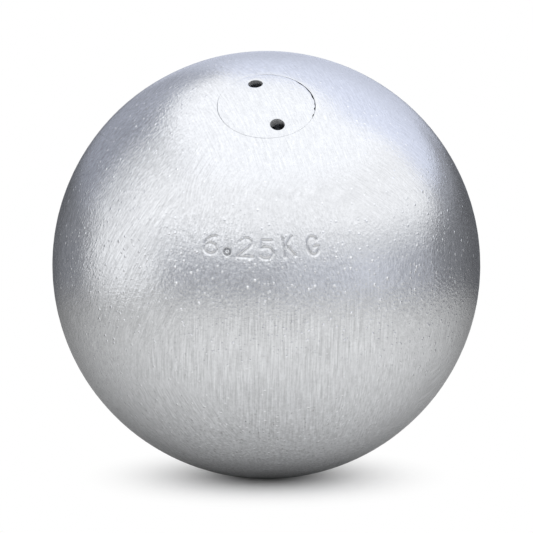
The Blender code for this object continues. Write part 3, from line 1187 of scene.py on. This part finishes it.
def plain_card(name, tone, hex_colour):
    """A card or panel of one tone that glows evenly, standing in for an evenly lit matt one."""
    material, tree, shader = new_material(name)
    tree.nodes.remove(shader)
    glow = add_node(tree, "Emission", {"Color": linear(hex_colour), "Strength": tone})
    set_inputs(tree.nodes["Material Output"], {"Surface": glow})
    return material


def standing_card(name, tone, azimuths, elevations, hex_colour):
    """A curved card round the ball, between these azimuths and elevations in degrees, seen from its
    centre. Only the ball's gloss sees it."""
    corners = []
    for i in range(CARD_STEPS + 1):
        azimuth = azimuths[0] + (azimuths[1] - azimuths[0]) * i / CARD_STEPS
        flat = along(azimuth, 0) * CARD_DISTANCE
        for elevation in elevations:
            height = math.tan(math.radians(elevation)) * CARD_DISTANCE
            corners.append((flat.x, flat.y, max(height, FLOOR_HEIGHT + MM)))
    faces = [(2 * i, 2 * i + 1, 2 * i + 3, 2 * i + 2) for i in range(CARD_STEPS)]
    material = plain_card(name.replace("_", " "), tone, hex_colour)
    card = add_stage_mesh(name, corners, faces, material)
    card.visible_camera = False
    card.visible_diffuse = False
    card.visible_shadow = False


def add_softbox(brightness):
    """The softbox aimed at the ball, whose face is this bright, where 1 is white."""
    lamp = bpy.data.lights.new("overhead_softbox", "AREA")
    lamp.shape = "RECTANGLE"
    lamp.size, lamp.size_y = SOFTBOX_SIZE
    lamp.energy = brightness * math.pi * SOFTBOX_SIZE[0] * SOFTBOX_SIZE[1]
    lamp.color = linear(LAMP_WHITE)[:3]
    fixture = bpy.data.objects.new("overhead_softbox", lamp)
    fixture.location = SOFTBOX_PLACE
    fixture.rotation_euler = (-Vector(SOFTBOX_PLACE)).to_track_quat("-Z", "Y").to_euler()
    fixture.visible_camera = False
    bpy.context.scene.collection.objects.link(fixture)


def studio_room():
    """The white room round the ball: plain white to the camera, a touch cooler in gloss, and less
    bright as light."""
    world = bpy.data.worlds.new("studio")
    world.use_nodes = True
    tree = world.node_tree
    rays = add_node(tree, "LightPath").node.outputs
    gloss = rays["Is Glossy Ray"]
    seen = add_node(tree, "Math", (rays["Is Camera Ray"], gloss), operation="MAXIMUM")
    seen = add_node(tree, "Math", (seen, rays["Is Transmission Ray"]), operation="MAXIMUM")
    strength = add_node(tree, "MapRange", (seen, 0.0, 1.0, ROOM_LIGHT, 1.0))
    whites = {"Factor": gloss, "A": linear("#FFFFFF"), "B": linear("#F8FAFF")}
    room = add_node(tree, "Mix", whites, data_type="RGBA")
    set_inputs(tree.nodes["Background"], {"Strength": strength, "Color": room})
    return world


def add_camera(stage):
    """The camera in front of the ball."""
    lens = bpy.data.cameras.new("camera")
    lens.lens = stage.focal_length
    lens.sensor_width = SENSOR_WIDTH
    lens.clip_end = VIEW_LIMIT
    camera = bpy.data.objects.new("camera", lens)
    elevation = stage.camera_elevation
    camera.location = (
        0,
        -stage.camera_distance * math.cos(elevation),
        stage.camera_distance * math.sin(elevation),
    )
    camera.rotation_euler = (AIM - camera.location).to_track_quat("-Z", "Y").to_euler()
    bpy.context.scene.collection.objects.link(camera)
    return camera


class SHOTPUT_OT_stage(bpy.types.Operator):
    """Set up the white floor, the soft light and the camera"""

    bl_idname = "shotput.stage"
    bl_label = "Stage, light and camera"

    def execute(self, context):
        stage = context.scene.shot_stage
        signs = ((-1, -1), (1, -1), (1, 1), (-1, 1))
        corners = [(FLOOR_REACH * x, FLOOR_REACH * y, 0) for x, y in signs]
        floor = add_stage_mesh("floor", corners, [(0, 1, 2, 3)], studio_floor())
        floor.location.z = FLOOR_HEIGHT
        add_softbox(stage.softbox)
        for name, tone, times, azimuths, elevations, white in CARDS:
            standing_card(name, getattr(stage, tone) * times, azimuths, elevations, white)
        context.scene.world = studio_room()
        context.scene.camera = add_camera(stage)
        context.scene.view_settings.view_transform = "Standard"
        return {"FINISHED"}


class SHOTPUT_PT_panel(bpy.types.Panel):
    """Lists the steps that build the shot put"""

    bl_idname = "SHOTPUT_PT_panel"
    bl_label = "Shot Put"
    bl_space_type = "VIEW_3D"
    bl_region_type = "UI"
    bl_category = "Shot Put"

    def draw(self, context):
        for operator, settings in OPERATORS:
            box = self.layout.box()
            box.operator(operator.bl_idname)
            group = getattr(context.scene, settings)
            for name in group.__annotations__:
                box.prop(group, name)


# Each step, and the settings that the panel lists under it. Those of the paint, which the ball and
# the plug share, stand under the last of the pieces.
OPERATORS = (
    (SHOTPUT_OT_ball, "shot_ball"),
    (SHOTPUT_OT_plug, "shot_plug"),
    (SHOTPUT_OT_pad, "shot_pad"),
    (SHOTPUT_OT_ballast, "shot_paint"),
    (SHOTPUT_OT_stage, "shot_stage"),
)
SETTINGS = {
    "shot_ball": BallSettings,
    "shot_plug": PlugSettings,
    "shot_pad": PadSettings,
    "shot_paint": PaintSettings,
    "shot_stage": StageSettings,
}


def register():
    """Registers the settings, the steps and the panel."""
    for name, group in SETTINGS.items():
        bpy.utils.register_class(group)
        setattr(bpy.types.Scene, name, PointerProperty(type=group))
    for operator, _ in OPERATORS:
        bpy.utils.register_class(operator)
    bpy.utils.register_class(SHOTPUT_PT_panel)


def unregister():
    """Takes everything out again."""
    bpy.utils.unregister_class(SHOTPUT_PT_panel)
    for operator, _ in reversed(OPERATORS):
        bpy.utils.unregister_class(operator)
    for name, group in SETTINGS.items():
        delattr(bpy.types.Scene, name)
        bpy.utils.unregister_class(group)


def main():
    """Builds everything."""
    register()
    bpy.ops.shotput.ball()
    bpy.ops.shotput.plug()
    bpy.ops.shotput.pad()
    bpy.ops.shotput.ballast()
    bpy.ops.shotput.stage()


if __name__ == "__main__":
    main()
